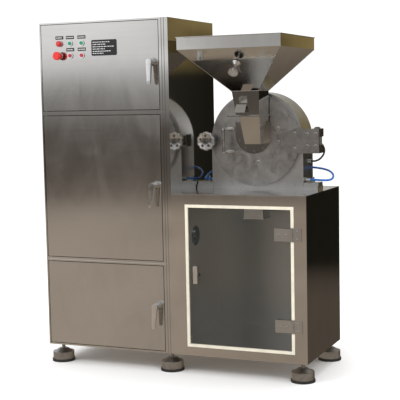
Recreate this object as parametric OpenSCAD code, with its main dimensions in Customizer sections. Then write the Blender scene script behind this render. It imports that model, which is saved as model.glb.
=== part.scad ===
// Hammer mill set: a swing-hammer mill on a glass-fronted product cabinet,
// joined to a tall control and dust filter cabinet. Millimetres, +Z up.

/* [Cabinets] */
// Width of the tall filter cabinet
left_w = 697; // [600:1:860]
// Depth of the tall filter cabinet
left_d = 553; // [500:1:670]
// Overall height of the machine
total_h = 1700; // [1690:1:2050]
// Height of both cabinets' lower edges above the floor
base_z = 95; // [85:1:120]
// Width of the product cabinet
right_w = 668; // [640:1:810]
// Depth of the product cabinet
right_d = 543; // [520:1:660]
// Height of the table top above the floor
table_z = 870; // [820:1:1000]
// Thickness of the cabinet sheet
sheet = 3; // [2:0.5:4]

/* [Filter cabinet doors] */
// Height of the rail between the control door and the filter door
upper_rail_z = 1257; // [1200:1:1300]
// Height of the rail between the filter door and the dust door
lower_rail_z = 532; // [450:1:600]
// Height of each rail
rail_h = 20; // [16:1:30]
// Width of the folded strip right of the doors
strip_w = 47; // [44:1:70]
// Width of the narrow frame edge on the other sides
edge_w = 8; // [6:1:14]
// Gap round each door
door_gap = 3; // [2.5:0.5:4]
// Thickness of a sheet metal door
door_t = 20; // [18:1:24]

/* [Controls] */
// Diameter of a push button
button_d = 18; // [14:1:20]
// Travel of a push button
button_travel = 4; // [2:0.5:5]
// Diameter of the emergency stop head
stop_head_d = 40; // [34:1:46]
// Spacing of the two button columns
column_pitch = 64; // [58:1:75]
// Spacing of the two button rows
row_pitch = 59; // [56:1:70]

/* [Product chamber] */
// Width of the white door seal
seal_w = 14; // [12:1:18]
// Thickness of the glass door
glass_t = 8; // [6:1:10]
// Diameter of the air duct between the cabinets
duct_d = 100; // [80:1:120]

/* [Mill] */
// Radius of the mill housing's round top
housing_r = 236; // [228:1:245]
// Depth of the mill housing
housing_d = 165; // [140:1:172]
// Radius of the grinding chamber
chamber_r = 204; // [200:1:210]
// Height of the rotor axis above the table
axis_rise = 238; // [234:1:260]
// Radius of the mill door
mill_door_r = 222; // [215:1:225]
// Diameter of the rotor shaft
shaft_d = 40; // [34:1:42]
// Radius of the circle of the hammer pins
hammer_pin_circle = 100; // [90:1:104]
// Length of a hammer from its pin to its tip
hammer_l = 84; // [70:1:90]
// Radius of the mill's own pulley
mill_pulley_r = 45; // [40:1:50]
// Radius of the motor pulley
motor_pulley_r = 75; // [65:1:85]

/* [Feed] */
// Width of the square hopper band
hopper_w = 505; // [440:1:515]
// Height of the hopper band
hopper_band_h = 58; // [40:1:80]
// Height of the throat's upper edge, where the funnel starts
throat_top_z = 1348; // [1346:1:1380]
// Height of the plate between throat and chute
chute_flange_z = 1230; // [1215:1:1240]
// Travel of the feed gate
gate_travel = 60; // [40:1:60]

/* [Feet and rear] */
// Diameter of a levelling foot
foot_d = 115; // [90:1:130]
// Diameter of a foot's screw
foot_screw_d = 16; // [12:1:20]
// Depth of the drive guard behind the product cabinet
guard_d = 280; // [275:1:320]
// Diameter of the exhaust spigot
spigot_d = 100; // [80:1:110]

/* [Hidden] */
$fn = 48;

steel = "#b9b6ae";
cast = "#a3a5a6";
dark = "#2b2d30";
run = 0.05;      // radial clearance of a running fit
cut = 1;         // how far a cut passes a face

// The cabinets meet at x = 0, their fronts lie at y = 0; site() centres the whole machine
hopper_x = 324.5;
hopper_y = 192.5;
hopper_lip = 4;
front_y = hopper_y - hopper_w / 2 - hopper_lip;
back_y = right_d + guard_d;
foot_inset = 44;
foot_xs = [-left_w + foot_inset, -41, right_w - 43];
foot_ys = [62, 500];
foot_points = [for (x = foot_xs, y = foot_ys) [x, y]];
module site() translate([-(foot_xs[0] + foot_xs[2]) / 2, -(front_y + back_y) / 2, 0]) children();

// Basic shapes: a box from corner to corner, and cylinders along x and y
module box(a, b) translate(a) cube(b - a);
module bar_x(r, x0, x1, y, z) translate([x0, y, z]) rotate([0, 90, 0]) cylinder(r = r, h = x1 - x0);
module bar_y(r, y0, y1, x, z) translate([x, y0, z]) rotate([-90, 0, 0]) cylinder(r = r, h = y1 - y0);
module bar_z(r, z0, z1, x, y) translate([x, y, z0]) cylinder(r = r, h = z1 - z0);
// Hexagonal bolt head standing off a face towards the front
module bolt_y(x, y, z, d = 16, h = 7) translate([x, y, z]) rotate([90, 0, 0]) cylinder(d = d, h = h, $fn = 6);
module bolt_z(x, y, z, d = 20, h = 9) translate([x, y, z]) cylinder(d = d, h = h, $fn = 6);

// A tapered block through a stack of level rectangles from the lowest up, each [x0, x1, y0, y1, z]
module stack(rs) {
    top = 4 * (len(rs) - 1);
    polyhedron(
        [for (r = rs) each [[r[0], r[2], r[4]], [r[1], r[2], r[4]], [r[1], r[3], r[4]], [r[0], r[3], r[4]]]],
        concat([[0, 1, 2, 3], [top + 3, top + 2, top + 1, top]],
            [for (i = [0 : 4 : top - 4], k = [0 : 3])
                let (n = (k + 1) % 4) [i + k, i + k + 4, i + n + 4, i + n]]));
}
module frustum(lo, hi) stack([lo, hi]);
// The rectangle [x0, x1, y0, y1, z] made smaller by t on every side, at height z
function inset(r, t, z) = [r[0] + t, r[1] - t, r[2] + t, r[3] - t, z];

// A round tube swept along points: rings of n points, flat ends; ref is never along the tube
function unit(v) = v / norm(v);
function along(p, i) = unit(p[min(i + 1, len(p) - 1)] - p[max(i - 1, 0)]);
function ring(c, d, r, n, ref) =
    let (side = unit(cross(ref, d)), up = cross(d, side))
    [for (k = [0 : n - 1]) c + r * (cos(360 * k / n) * side + sin(360 * k / n) * up)];
module sweep_tube(p, r, ref, n = 10) {
    last = len(p) - 1;
    polyhedron(
        [for (i = [0 : last]) each ring(p[i], along(p, i), r, n, ref)],
        concat(
            [[for (k = [0 : n - 1]) n - 1 - k]],
            [[for (k = [0 : n - 1]) last * n + k]],
            [for (i = [0 : last - 1], k = [0 : n - 1])
                let (a = i * n + k, b = i * n + (k + 1) % n) each [[a, b, b + n], [a, b + n, a + n]]]));
}
// Catmull-Rom points through a route, so a few hand-placed points make a smooth hose
function spline_at(p, i, t) =
    let (a = p[max(i - 1, 0)], b = p[i], c = p[i + 1], d = p[min(i + 2, len(p) - 1)])
    0.5 * (2 * b + (c - a) * t + (2 * a - 5 * b + 4 * c - d) * t * t + (3 * b - a - 3 * c + d) * t * t * t);
function smooth_route(p, steps) =
    concat([for (i = [0 : len(p) - 2], k = [0 : steps - 1]) spline_at(p, i, k / steps)], [p[len(p) - 1]]);

// ---------------------------------------------------------------- filter cabinet
frame_t = 7;
return_y = 26;       // how deep the folded edges of the door openings reach
open_x0 = -left_w + edge_w;
open_x1 = -strip_w;
upper_open = [upper_rail_z + rail_h / 2, total_h - edge_w];
middle_open = [lower_rail_z + rail_h / 2, upper_rail_z - rail_h / 2];
lower_open = [base_z + edge_w, lower_rail_z - rail_h / 2];
openings = [upper_open, middle_open, lower_open];
hinge_r = 4;
hinge_x = open_x0 + door_gap + 10;
hinge_y = 7;
hinge_l = 20;
lever_x = open_x1 - 35;
lever_rise = 14;     // how far a lever's axis lies above the middle of its door
function lever_z(zs) = (zs[0] + zs[1]) / 2 + lever_rise;
duct_y = 237;
duct_z = 640;
fan_x = -left_w / 2;
fan_y = 350;
fan_z = 1390;
fan_r = 140;
fan_h = 110;
spigot_x = fan_x + 90;
spigot_z = fan_z + fan_h / 2;
spigot_l = 50;

module foot_holes(z0, z1)
    for (p = foot_points) bar_z(foot_screw_d / 2 + run, z0, z1, p[0], p[1]);

module left_casing() color(steel) site() difference() {
    union() {
        difference() {
            box([-left_w, frame_t, base_z], [0, left_d, total_h]);
            box([-left_w + sheet, frame_t - cut, base_z + sheet], [-sheet, left_d - sheet, total_h - sheet]);
        }
        for (p = foot_points) if (p[0] < 0) bar_z(foot_screw_d / 2 + 8, base_z + sheet - 0.5, base_z + 20, p[0], p[1]);
    }
    // seam lines where the body sheets meet
    for (x = [-left_w - cut, -1]) box([x, frame_t + 2, upper_rail_z - 1], [x + 1 + cut, left_d - 2, upper_rail_z + 1]);
    bar_x(duct_d / 2, -sheet - cut, cut, duct_y, duct_z);
    bar_y(spigot_d / 2 + 3, left_d - sheet - cut, left_d + cut, spigot_x, spigot_z);
    foot_holes(base_z - cut, base_z + 21);
}

module left_front_frame() color(steel) site() difference() {
    union() {
        box([-left_w, 0, base_z], [0, frame_t, total_h]);
        for (o = openings) box([open_x0 - sheet, frame_t - cut, o[0] - sheet], [open_x1 + sheet, return_y, o[1] + sheet]);
    }
    for (o = openings) box([open_x0, -cut, o[0]], [open_x1, return_y + cut, o[1]]);
    // grooves between the folded strips
    box([-35, -cut, base_z - cut], [-31, 4, total_h + cut]);
    box([-22, -cut, base_z - cut], [-13, 4, total_h + cut]);
    for (z = [upper_rail_z, lower_rail_z]) box([open_x0, -cut, z - 2], [-34, 4, z + 2]);
}

module door_hinge_pins() color(steel) site()
    for (o = openings) {
        bar_z(hinge_r, o[0], o[0] + hinge_l, hinge_x, hinge_y);
        bar_z(hinge_r, o[1] - hinge_l, o[1], hinge_x, hinge_y);
    }

module sheet_door(o) {
    x0 = open_x0 + door_gap;
    x1 = open_x1 - door_gap;
    z0 = o[0] + door_gap;
    z1 = o[1] - door_gap;
    block = 24;
    difference() {
        union() {
            difference() {
                box([x0, 0, z0], [x1, door_t, z1]);
                box([x0 + sheet, sheet, z0 + sheet], [x1 - sheet, door_t + cut, z1 - sheet]);
            }
            for (z = [z0, z1 - block]) box([x0, 0.5, z], [x0 + block, door_t, z + block]);
            bar_y(20, -12, door_t, lever_x, lever_z(o));
        }
        for (z = [z0 - cut, z1 - hinge_l]) bar_z(hinge_r + run, z, z + hinge_l + cut, hinge_x, hinge_y);
        bar_y(7 + run, -13, door_t + cut, lever_x, lever_z(o));
    }
}

top_row_z = 1596;
low_row_z = top_row_z - row_pitch;
lamp_x = -583;
column_1_x = lamp_x + 59;
column_2_x = column_1_x + column_pitch;
hole_r = 11;
control_places = [[lamp_x, top_row_z], [lamp_x, low_row_z], [column_1_x, top_row_z],
    [column_2_x, top_row_z], [column_1_x, low_row_z], [column_2_x, low_row_z]];

module control_door() color(steel) site() difference() {
    sheet_door(upper_open);
    for (p = control_places) bar_y(hole_r, -cut, sheet + cut, p[0], p[1]);
}
module filter_door() color(steel) site() sheet_door(middle_open);
module dust_door() color(steel) site() sheet_door(lower_open);

// A hanging lever: spindle through the door, hub, tapered arm and a short cam behind
module lever(z, tilt = 0) translate([lever_x, 0, z]) rotate([0, tilt, 0]) {
    bar_y(7, -20, door_t + 4, 0, 0);
    bar_y(15, -45, -12.4, 0, 0);
    hull() {
        translate([0, -45, 0]) rotate([-90, 0, 0]) cylinder(r = 13, h = 16, $fn = 32);
        translate([0, -47, -98]) rotate([-90, 0, 0]) cylinder(r = 9, h = 9, $fn = 32);
    }
    box([-10, door_t + 0.4, -10], [28, door_t + 4, 10]);
}
module top_lever() color("silver") site() lever(lever_z(upper_open));
module middle_lever() color("silver") site() lever(lever_z(middle_open), 5);
module bottom_lever() color("silver") site() lever(lever_z(lower_open), 4);

module button(p, d = button_d) bar_y(d / 2, -8, 10, p[0], p[1]);
module start_button_1() color("green") site() button(control_places[2]);
module start_button_2() color("green") site() button(control_places[3]);
module stop_button_1() color("red") site() button(control_places[4]);
module stop_button_2() color("red") site() button(control_places[5]);
module emergency_stop() color("red") site() {
    bar_y(button_d / 2, -23, 10, lamp_x, low_row_z);
    bar_y(stop_head_d / 2, -36, -22, lamp_x, low_row_z);
    translate([lamp_x, -36, low_row_z]) rotate([90, 0, 0])
        cylinder(d1 = stop_head_d, d2 = stop_head_d - 10, h = 5);
}
module pilot_lamp() color("darkred") site() {
    bar_y(button_d / 2, -6, 10, lamp_x, top_row_z);
    bar_y(14, -13, -5, lamp_x, top_row_z);
    translate([lamp_x, -13, top_row_z]) rotate([90, 0, 0]) cylinder(d1 = 28, d2 = 18, h = 7);
}
module control_bezels() color("silver") site()
    for (p = control_places) difference() {
        union() {
            bar_y(14.5, -5, 0, p[0], p[1]);
            bar_y(hole_r - 0.05, 0, 18, p[0], p[1]);
            box([p[0] - 13, 17, p[1] - 15], [p[0] + 13, 38, p[1] + 15]);
        }
        bar_y(button_d / 2 + run, -6, 12 + button_travel, p[0], p[1]);
    }
module legend_plates() color(dark) site() {
    for (i = [0, 2, 3, 4, 5]) {
        p = control_places[i];
        box([p[0] - 22, -1, p[1] + 21], [p[0] + 22, 0, p[1] + 37]);
    }
    // nameplate with rounded corners
    translate([-337.5, 0, 1570]) rotate([90, 0, 0]) linear_extrude(1.5) for (d = [[137, 62], [123, 76]])
        square(d, center = true);
    for (x = [-399, -276], z = [1539, 1601]) bar_y(7, -1.5, 0, x, z);
}

partition_y = 150;
module tube_sheet() color(steel) site() difference() {
    box([-left_w + sheet, return_y, upper_rail_z - sheet], [-sheet, left_d - sheet, upper_rail_z]);
    for (p = bag_points) bar_z(bag_r + 0.5, upper_rail_z - sheet - cut, upper_rail_z + cut, p[0], p[1]);
}
bag_r = 60;
bag_points = [for (i = [-1, 0, 1], y = [240, 430]) [fan_x + i * 222, y]];
bag_low_z = lower_rail_z + 230;
module filter_bags() color("ivory") site()
    for (p = bag_points) difference() {
        union() {
            bar_z(bag_r, bag_low_z, upper_rail_z + 5, p[0], p[1]);
            bar_z(bag_r + 8, upper_rail_z, upper_rail_z + 6, p[0], p[1]);
        }
        bar_z(bag_r - 3, bag_low_z + 3, upper_rail_z + 7, p[0], p[1]);
    }
module dust_shelf() color(steel) site() difference() {
    box([-left_w + sheet, return_y, lower_rail_z - sheet], [-sheet, left_d - sheet, lower_rail_z]);
    box([-left_w + 90, 90, lower_rail_z - sheet - cut], [-90, 460, lower_rail_z + cut]);
}
module dust_bin() color(steel) site() difference() {
    box([-left_w + 70, 50, base_z + sheet], [-70, 485, base_z + 345]);
    box([-left_w + 73, 53, base_z + sheet + 3], [-73, 482, base_z + 346]);
}

// Partition with the switchgear on its front
module electrical_panel() color("gainsboro") site() {
    box([-left_w + sheet, partition_y, upper_rail_z], [-sheet, partition_y + sheet, total_h - sheet]);
    for (x = [-600 : 62 : -290]) box([x, 90, 1480], [x + 45, partition_y, 1565]);
    box([-600, 115, 1360], [-400, partition_y, 1430]);
    box([-350, 105, 1350], [-230, partition_y, 1440]);
    box([-640, 144, 1515], [-180, partition_y, 1530]);
}

// Centrifugal fan on four legs, its inlet below and its outlet through the back panel
module fan_housing() color("slategray") site() difference() {
    union() {
        bar_z(fan_r, fan_z, fan_z + fan_h, fan_x, fan_y);
        box([spigot_x - 55, fan_y, fan_z], [spigot_x + 50, left_d - sheet, fan_z + fan_h]);
        for (x = [-110, 90], y = [-110, 90])
            box([fan_x + x, fan_y + y, upper_rail_z], [fan_x + x + 20, fan_y + y + 20, fan_z + 2]);
        bar_y(spigot_d / 2 - 0.3, left_d - sheet - 2, left_d + spigot_l, spigot_x, spigot_z);
    }
    bar_z(fan_r - 3, fan_z + 3, fan_z + fan_h - 3, fan_x, fan_y);
    box([spigot_x - 50, fan_y, fan_z + 4], [spigot_x + 46, left_d - sheet - 3, fan_z + fan_h - 4]);
    bar_z(55, fan_z - cut, fan_z + 5, fan_x, fan_y);
    bar_z(16, fan_z + fan_h - 5, fan_z + fan_h + cut, fan_x, fan_y);
    bar_y(spigot_d / 2 - 4, left_d - 10, left_d + spigot_l + cut, spigot_x, spigot_z);
}
module fan_impeller() color("lightsteelblue") site() translate([fan_x, fan_y, 0]) {
    cylinder_z = fan_z + fan_h - 24;
    bar_z(105, cylinder_z, cylinder_z + 4, 0, 0);
    bar_z(12, fan_z + 30, fan_z + fan_h + 60, 0, 0);
    for (a = [0 : 45 : 315]) rotate(a) box([40, -2, fan_z + 30], [100, 2, cylinder_z + 1]);
}
module fan_motor() color("steelblue") site() difference() {
    union() {
        bar_z(62, fan_z + fan_h, fan_z + fan_h + 140, fan_x, fan_y);
        box([fan_x - 40, fan_y - 84, fan_z + fan_h + 50], [fan_x + 40, fan_y - 50, fan_z + fan_h + 100]);
    }
    bar_z(12 + run, fan_z + fan_h - cut, fan_z + fan_h + 62, fan_x, fan_y);
}

module levelling_feet() color("dimgray") site()
    for (p = foot_points) translate([p[0], p[1], 0]) {
        cylinder(r = foot_d / 2, h = 12);
        translate([0, 0, 12]) cylinder(r = foot_d / 2 - 4, h = 36);
        translate([0, 0, 48]) cylinder(r1 = foot_d / 2 - 10, r2 = 22, h = 16);
        translate([0, 0, 64]) cylinder(r = foot_screw_d / 2, h = base_z + 33 - 64);
        translate([0, 0, base_z - 13]) cylinder(r = 15, h = 12, $fn = 6);
    }

// ---------------------------------------------------------------- product cabinet
table_t = 6;
chamber_x0 = 17;
floor_z = 142;
opening = [[76, 602], [144, 814]];    // x and z range of the chamber's front opening
glass_hinge_x = 601;
glass_hinge_y = -6;
glass_hinge_zs = [691, 267];
glass_hinge_h = 60;
knuckle_r = 5;
outlet = [244, 336, 340, 430];        // x0, x1, y0, y1 of the discharge opening in the table
outlet_z = 718;
seal_lip = 6;        // how far the seal laps over the front frame
seal_in = seal_w - seal_lip;
glass_inset = seal_in + 2;
glass_x0 = opening[0][0] + glass_inset;
glass_x1 = opening[0][1] - glass_inset;

module right_casing() color(steel) site() difference() {
    union() {
        box([right_w - sheet, frame_t, base_z], [right_w, right_d, table_z - table_t]);
        box([chamber_x0, right_d - sheet, base_z], [right_w - cut, right_d, table_z - table_t]);
        box([chamber_x0, frame_t, base_z], [chamber_x0 + sheet, right_d - cut, table_z - table_t]);
        box([chamber_x0 + cut, frame_t, floor_z - sheet], [right_w - cut, right_d - cut, floor_z]);
        bar_x(duct_d / 2 + 4, 0, chamber_x0 + cut, duct_y, duct_z);
        for (p = foot_points) if (p[0] > 0) {
            box([p[0] - 40, p[1] - 40, base_z], [right_w - cut, p[1] + 40, base_z + 5]);
            bar_z(foot_screw_d / 2 + 8, base_z + 4, base_z + 20, p[0], p[1]);
        }
    }
    bar_x(duct_d / 2, -cut, chamber_x0 + sheet + cut, duct_y, duct_z);
    foot_holes(base_z - cut, base_z + 21);
}
module right_front_frame() color(steel) site() difference() {
    box([0, 0, base_z], [right_w, frame_t, table_z - table_t]);
    box([opening[0][0], -cut, opening[1][0]], [opening[0][1], frame_t + cut, opening[1][1]]);
}
module table_top() color(steel) site() difference() {
    union() {
        box([0, 0, table_z - table_t], [right_w, right_d, table_z]);
        box([outlet[0] - 4, outlet[2] - 4, outlet_z], [outlet[1] + 4, outlet[3] + 4, table_z - cut]);
        box([outlet[0] - 10, outlet[2] - 10, outlet_z], [outlet[1] + 10, outlet[3] + 10, outlet_z + 5]);
    }
    box([outlet[0], outlet[2], outlet_z - cut], [outlet[1], outlet[3], table_z + cut]);
}
module rect_ring(x, z, w, y0, y1) difference() {
    box([x[0], y0, z[0]], [x[1], y1, z[1]]);
    box([x[0] + w, y0 - cut, z[0] + w], [x[1] - w, y1 + cut, z[1] - w]);
}
module door_seal() color("ivory") site() difference() {
    union() {
        rect_ring([opening[0][0] - seal_lip, opening[0][1] + seal_lip],
            [opening[1][0] - seal_lip, opening[1][1] + seal_lip], seal_w, -3, 0);
        rect_ring(opening[0], opening[1], seal_in, -0.5, frame_t);
    }
    for (z = glass_hinge_zs)
        box([opening[0][1] - seal_in - cut, -4, z - glass_hinge_h / 2 - 2],
            [opening[0][1] + seal_lip + cut, frame_t + cut, z + glass_hinge_h / 2 + 2]);
}
lock_x = 125;
lock_z = 489;
module glass_door() color([0.8, 0.9, 0.9, 0.4]) site() difference() {
    z0 = opening[1][0] + glass_inset;
    z1 = opening[1][1] - glass_inset;
    translate([0, glass_t - 1, 0]) rotate([90, 0, 0]) linear_extrude(glass_t) polygon([[glass_x0 + 16, z0],
        [glass_x1, z0], [glass_x1, z1], [glass_x0 + 16, z1], [glass_x0, z1 - 16], [glass_x0, z0 + 16]]);
    bar_y(6 + run, -2, glass_t, lock_x, lock_z);
}
// Clamp plates on the glass, with the middle third of each knuckle
module glass_clamps() color("silver") site()
    for (z = glass_hinge_zs) {
        difference() {
            union() {
                box([515, -5, z - 30], [595, -1, z + 30]);
                box([590, glass_hinge_y - 2, z - 10], [glass_hinge_x, glass_hinge_y + 2, z + 10]);
                bar_z(knuckle_r, z - 10, z + 10, glass_hinge_x, glass_hinge_y);
            }
            bar_z(2.5 + run, z - 11, z + 11, glass_hinge_x, glass_hinge_y);
        }
        box([515, glass_t - 1, z - 30], [588, glass_t + 3, z + 30]);
    }
module glass_hinge_blocks() color("silver") site()
    for (z = glass_hinge_zs) {
        box([607, -6, z - 30], [645, 0, z + 30]);
        for (s = [-1, 1]) {
            bar_z(knuckle_r, z + s * 20.3 - 9.7, z + s * 20.3 + 9.7, glass_hinge_x, glass_hinge_y);
            box([glass_hinge_x, -6.5, z + s * 20.3 - 9.7], [608, -4, z + s * 20.3 + 9.7]);
        }
        bar_z(2.5, z - 29, z + 29, glass_hinge_x, glass_hinge_y);
    }
module door_lock() color("silver") site() {
    bar_y(6, -8, glass_t, lock_x, lock_z);
    bar_y(10, -9, -1.4, lock_x, lock_z);
    box([lock_x - 11, -22, lock_z - 42], [lock_x + 11, -8.5, lock_z + 42]);
    box([lock_x - 15, glass_t - 0.6, lock_z - 7], [lock_x + 15, glass_t + 2.4, lock_z + 7]);
}

// ---------------------------------------------------------------- mill
axis_x = 320;
axis_z = table_z + axis_rise;
housing_y = 315;
housing_back = housing_y + housing_d;
chamber_back = housing_back - 16;
door_t_mill = 24.5;
door_y = housing_y - 0.5 - door_t_mill;
clamp_x = 84;
stud_r = 8;
guard_top_z = axis_z + 75;
module arch(r, y0, y1) {
    bar_y(r, y0, y1, axis_x, axis_z);
    box([axis_x - r, y0, table_z], [axis_x + r, y1, axis_z]);
}
module mill_housing() color(cast) site() difference() {
    union() {
        arch(housing_r, housing_y, housing_y + 14);
        arch(housing_r - 3, housing_y + 13, housing_back);
        for (s = [-1, 1]) {
            x = axis_x - 3 + s * (housing_r + 35);
            box([x - 42, 305, table_z], [x + 42, 395, table_z + 18]);
            box([x - 42, 318, table_z + 17], [x + 42, 388, table_z + 34]);
            bolt_z(x, 372, table_z + 33);
            bar_z(6, table_z + 33, table_z + 58, x, 372);
        }
        // clamp lug at the left
        box([clamp_x - 30, housing_y, axis_z - 30], [axis_x - housing_r + 20, housing_y + 60, axis_z + 30]);
    }
    bar_y(chamber_r, housing_y - cut, chamber_back, axis_x, axis_z);
    bar_y(shaft_d / 2 + 2, chamber_back - cut, housing_back + cut, axis_x, axis_z);
    box([outlet[0], outlet[2], table_z - cut], [outlet[1], outlet[3], axis_z - chamber_r + 20]);
    bar_y(stud_r + 2, housing_y - cut, housing_y + 61, clamp_x, axis_z);
}
module sieve_screen() color("silver") site() translate([axis_x, 0, axis_z]) rotate([-90, 0, 0]) difference() {
    translate([0, 0, housing_y + 3]) cylinder(r = chamber_r - 0.5, h = chamber_back - housing_y - 4);
    cylinder(r = chamber_r - 3.5, h = 1000);
    translate([-300, -300, 0]) cube([600, 300, 1000]);
    for (a = [20 : 14 : 160], y = [housing_y + 20 : 26 : chamber_back - 12])
        translate([0, 0, y]) rotate([0, 90, a]) cylinder(r = 5, h = 300);
}

disc_y = [housing_y + 25, chamber_back - 34];
disc_t = 12;
hammer_side_gap = 4;
hammer_mid_gap = 10;
hammer_t = (disc_y[1] - disc_y[0] - disc_t - 2 * hammer_side_gap - hammer_mid_gap) / 2;
pin_r = 8;
module rotor() color("dimgray") site() {
    for (y = disc_y) bar_y(hammer_pin_circle + 20, y, y + disc_t, axis_x, axis_z);
    bar_y(shaft_d / 2, disc_y[0] - 6, right_d + 62, axis_x, axis_z);
    bar_y(34, disc_y[0] + disc_t - cut, disc_y[1] + cut, axis_x, axis_z);
    for (a = [0 : 90 : 270])
        bar_y(pin_r, disc_y[0] - 3, disc_y[1] + disc_t + 3,
            axis_x + hammer_pin_circle * cos(a), axis_z + hammer_pin_circle * sin(a));
}
// Two hammers side by side on the pin at angle a
module hammer_pair(a) color("darkgray") site() translate([axis_x, 0, axis_z]) rotate([0, -a, 0])
    translate([hammer_pin_circle, 0, 0])
    for (y = [disc_y[0] + disc_t + hammer_side_gap, disc_y[1] - hammer_side_gap - hammer_t]) difference() {
        union() {
            box([-4, y, -18], [hammer_l, y + hammer_t, 18]);
            bar_y(18, y, y + hammer_t, -4, 0);
        }
        bar_y(pin_r + run, y - cut, y + hammer_t + cut, 0, 0);
    }
module hammers_1() hammer_pair(0);
module hammers_2() hammer_pair(90);
module hammers_3() hammer_pair(180);
module hammers_4() hammer_pair(270);

module bearing_housing() color(cast) site() difference() {
    union() {
        bar_y(62, housing_back, right_d - 4, axis_x, axis_z);
        box([axis_x - 45, housing_back + 10, table_z], [axis_x + 45, right_d - 12, axis_z - 30]);
        box([axis_x - 75, housing_back + 6, table_z], [axis_x + 75, right_d - 6, table_z + 16]);
    }
    bar_y(45, housing_back - cut, right_d, axis_x, axis_z);
}
module bearings() color("silver") site()
    for (y = [housing_back + 3, right_d - 26]) difference() {
        bar_y(44.95, y, y + 20, axis_x, axis_z);
        bar_y(shaft_d / 2 + run, y - cut, y + 21, axis_x, axis_z);
    }

pulley_y = right_d + 14;
pulley_w = 40;
motor_z = floor_z + 113;
groove_ys = [pulley_y + 4, pulley_y + 22];
groove_w = 14;
module pulley(r, z) difference() {
    bar_y(r, pulley_y, pulley_y + pulley_w, axis_x, z);
    for (y = groove_ys) difference() {
        bar_y(r + cut, y, y + groove_w, axis_x, z);
        bar_y(r - 10, y - cut, y + groove_w + cut, axis_x, z);
    }
}
module mill_pulley() color("dimgray") site() difference() {
    pulley(mill_pulley_r, axis_z);
    bar_y(shaft_d / 2, pulley_y - cut, pulley_y + pulley_w + cut, axis_x, axis_z);
}
motor_shaft_r = 14;
module motor_pulley() color("dimgray") site() {
    pulley(motor_pulley_r, motor_z);
    bar_y(motor_shaft_r, pulley_y + pulley_w - cut, pulley_y + pulley_w + 60, axis_x, motor_z);
}
module belt(y) difference() {
    hull() {
        bar_y(mill_pulley_r + 0.5, y, y + groove_w - 2, axis_x, axis_z, $fn = 40);
        bar_y(motor_pulley_r + 0.5, y, y + groove_w - 2, axis_x, motor_z, $fn = 40);
    }
    hull() {
        bar_y(mill_pulley_r - 9.2, y - cut, y + groove_w, axis_x, axis_z, $fn = 40);
        bar_y(motor_pulley_r - 9.2, y - cut, y + groove_w, axis_x, motor_z, $fn = 40);
    }
}
module drive_belts() color(dark) site() for (y = groove_ys) belt(y + 1);
motor_y = pulley_y + pulley_w + 8;
module motor() color("steelblue") site() difference() {
    union() {
        bar_y(98, motor_y, motor_y + 190, axis_x, motor_z);
        box([axis_x - 90, motor_y + 25, floor_z], [axis_x + 90, motor_y + 165, floor_z + 25]);
        box([axis_x - 60, motor_y + 60, motor_z + 80], [axis_x + 60, motor_y + 150, motor_z + 125]);
    }
    bar_y(motor_shaft_r + run, motor_y - cut, motor_y + 60, axis_x, motor_z);
}
guard_x = [90, 550];
guard_low_top = 820;
module belt_guard() color(steel) site() {
    g = 2.5;
    difference() {
        box([guard_x[0], right_d, floor_z - g], [guard_x[1], back_y, guard_low_top]);
        box([guard_x[0] + g, right_d - cut, floor_z], [guard_x[1] - g, back_y - g, guard_low_top - g]);
        box([axis_x - 95, right_d - cut, guard_low_top - 10], [axis_x + 95, right_d + 66, guard_low_top + cut]);
    }
    difference() {
        box([axis_x - 95, right_d, guard_low_top - g], [axis_x + 95, right_d + 69, guard_top_z]);
        box([axis_x - 95 + g, right_d + g, guard_low_top - g - cut], [axis_x + 95 - g, right_d + 69 - g, guard_top_z - g]);
        bar_y(shaft_d / 2 + 4, right_d - cut, right_d + 5, axis_x, axis_z);
    }
}

// Swinging door, hinged at the right on a vertical pin
arm_pin_x = 622;
arm_pin_y = 335;
arm_pin_r = 10;
inlet_x = axis_x + 18;
inlet_z = axis_z + 29;
lid_bolts = [[117, 58], [17, -105]];
module mill_door() color(cast) site() difference() {
    union() {
        bar_y(mill_door_r, door_y, door_y + door_t_mill, axis_x, axis_z);
        box([clamp_x - 26, door_y, axis_z - 24], [axis_x - mill_door_r + 30, door_y + door_t_mill, axis_z + 24]);
        for (b = lid_bolts) bolt_y(axis_x + b[0], door_y + cut, axis_z + b[1], 18, 8);
    }
    bar_y(44, door_y - cut, door_y + door_t_mill + cut, inlet_x, inlet_z);
    bar_y(stud_r + run, door_y - cut, door_y + door_t_mill + cut, clamp_x, axis_z);
}
arm_t = 10;
arm_y = door_y - arm_t;
arm_z = [axis_z - 61, axis_z + 55];
arm_bolts = [[443, -7], [526, 33], [526, -41], [589, 29], [589, -28], [630, 30], [630, -28]];
module hinge_arm() color(cast) site() {
    translate([0, arm_y + arm_t, 0]) rotate([90, 0, 0]) linear_extrude(arm_t)
        polygon([[434, axis_z - 36], [530, arm_z[0]], [646, arm_z[0]], [646, arm_z[1]], [530, arm_z[1]], [434, axis_z + 29]]);
    for (z = [[arm_z[0], axis_z - 22.5], [axis_z + 16.5, arm_z[1]]])
        box([arm_pin_x - 24, arm_y + arm_t - 0.5, z[0]], [arm_pin_x + 24, arm_pin_y + 23, z[1]]);
    bar_z(arm_pin_r, arm_z[0] + 5, arm_z[1] + 8, arm_pin_x, arm_pin_y);
    bar_z(arm_pin_r + 5, arm_z[1] - 1, arm_z[1] + 5, arm_pin_x, arm_pin_y);
    for (b = arm_bolts) bolt_y(b[0], arm_y + cut, axis_z + b[1], 15, 8);
}
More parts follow.
